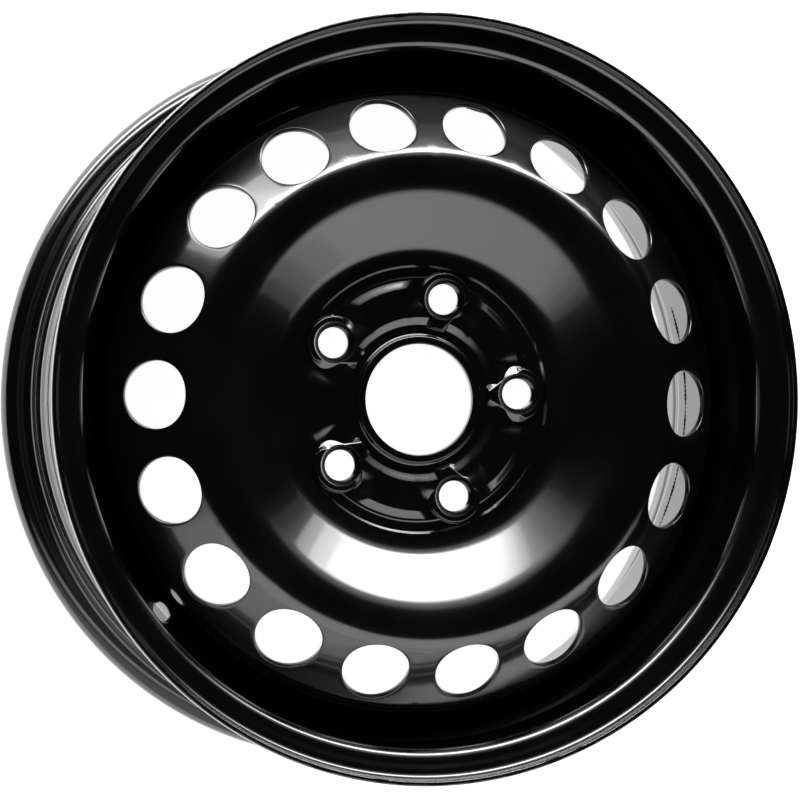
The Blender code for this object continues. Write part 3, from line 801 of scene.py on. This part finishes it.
bpy.ops.object.select_all(action="DESELECT")
bpy.ops.mesh.primitive_plane_add(size=FLOOR_SIZE, location=(0, 0, cad_box[0][2] - FLOOR_DROP))
floor = bpy.context.object
floor.name = floor.data.name = "floor"
bpy.ops.object.transform_apply(location=True)
white = bpy.data.materials.new("floor_white")
white.use_nodes = True
tree = white.node_tree
plain_sheet = tree.nodes["Principled BSDF"]
feed(tree, plain_sheet, {"Base Color": FLOOR_WHITE, "Roughness": FLOOR_ROUGHNESS})
path = new_node(tree, "ShaderNodeLightPath", {})
mirrored = new_node(tree, "ShaderNodeMath", {
    0: path.outputs["Is Glossy Ray"], 1: path.outputs["Is Transmission Ray"]}, operation="MAXIMUM")
seen = new_node(tree, "ShaderNodeMath", {
    0: path.outputs["Is Camera Ray"], 1: mirrored.outputs["Value"]}, operation="MAXIMUM")
glow = new_node(tree, "ShaderNodeMath", {
    0: seen.outputs["Value"], 1: FLOOR_GLOW}, operation="MULTIPLY")
lit_sheet = new_node(tree, "ShaderNodeEmission", {
    "Color": PURE_WHITE, "Strength": glow.outputs["Value"]})
both = new_node(tree, "ShaderNodeAddShader", {0: plain_sheet.outputs[0], 1: lit_sheet.outputs[0]})
feed(tree, tree.nodes["Material Output"], {"Surface": both.outputs[0]})
floor.data.materials.append(white)


# Light: a studio round the wheel as it stood in the photograph, with its valve hole at the lower
# left: a long softbox and a wide dim panel over it, a box over its barrel and a white table.
PICTURE_RIGHT = math.radians(50.94)
FACE_HEIGHT = 0.060
PANEL_SHARES = (1.0, 0.85, 0.7, 0.55)
PANEL_GAP = 0.001
ROOM_GREY = (0.008, 0.008, 0.008, 1.0)

wheel_right = Vector((math.cos(PICTURE_RIGHT), math.sin(PICTURE_RIGHT), 0.0))
wheel_up = Vector((-math.sin(PICTURE_RIGHT), math.cos(PICTURE_RIGHT), 0.0))


def softbox(name, side, distance, across, height, radiance, tilt=0.0):
    """A soft oval panel above (side 1) or below (side -1) the wheel as it stood.

    Across gives its left and right ends, height how far before the wheel's face its edges lie.
    It is made of panels within each other, so that it is brighter in its middle.
    """
    width, depth = across[1] - across[0], height[1] - height[0]
    normal = wheel_up * side
    face_way = Vector((0.0, 0.0, 1.0))
    upright = Matrix((face_way.cross(normal), face_way, normal)).transposed()
    for number, share in enumerate(PANEL_SHARES):
        data = bpy.data.lights.new(f"{name}_{number + 1}", "AREA")
        data.shape = "ELLIPSE"
        data.size, data.size_y = width * share, depth * share
        area = math.pi / 4 * data.size * data.size_y
        data.energy = math.pi * area * radiance / len(PANEL_SHARES)
        lamp = bpy.data.objects.new(data.name, data)
        bpy.context.collection.objects.link(lamp)
        lamp.rotation_euler = (Matrix.Rotation(tilt, 3, normal) @ upright).to_euler()
        lamp.location = (normal * (distance + number * PANEL_GAP)
                         + wheel_right * sum(across) / 2
                         + face_way * (FACE_HEIGHT + sum(height) / 2))
        lamp.visible_camera = False


softbox("long_softbox", side=1, distance=0.60, across=(-0.75, 0.90), height=(0.16, 0.40),
        radiance=13.0, tilt=math.radians(5.0))
softbox("wide_panel", side=1, distance=0.64, across=(-1.00, 1.30), height=(-0.05, 0.75),
        radiance=0.8)
softbox("barrel_softbox", side=1, distance=0.60, across=(-0.90, -0.05), height=(-0.26, 0.03),
        radiance=11.0)
softbox("table", side=-1, distance=0.25, across=(-0.60, 0.65), height=(0.00, 0.36), radiance=1.5)
softbox("table_edge", side=-1, distance=0.27, across=(-0.60, 0.65), height=(-0.25, 0.08),
        radiance=0.6)

# The room is nearly dark to the wheel and white to the camera
world = bpy.data.worlds.new("studio")
bpy.context.scene.world = world
world.use_nodes = True
tree = world.node_tree
room = tree.nodes["Background"]
feed(tree, room, {"Color": ROOM_GREY})
backdrop = new_node(tree, "ShaderNodeBackground", {"Color": PURE_WHITE})
path = new_node(tree, "ShaderNodeLightPath", {})
mix = new_node(tree, "ShaderNodeMixShader", {
    0: path.outputs["Is Camera Ray"], 1: room.outputs[0], 2: backdrop.outputs[0]})
feed(tree, tree.nodes["World Output"], {"Surface": mix.outputs[0]})


# Camera: two metres before the wheel's face and half a metre to its left, with a long lens.
# It was fitted to the flanges, the vents, the bolt holes and the bore in the photograph.
CAMERA_PLACE = (-0.32815, -0.43248, 2.02774)
CAMERA_TURN = (0.5246, -15.0962, 50.7999)
CAMERA_LENS = 159.018

bpy.ops.object.select_all(action="DESELECT")
bpy.ops.object.camera_add(location=CAMERA_PLACE)
camera = bpy.context.object
camera.rotation_euler = [math.radians(turn) for turn in CAMERA_TURN]
camera.data.lens = CAMERA_LENS
bpy.context.scene.camera = camera
bpy.context.scene.view_settings.view_transform = "Standard"
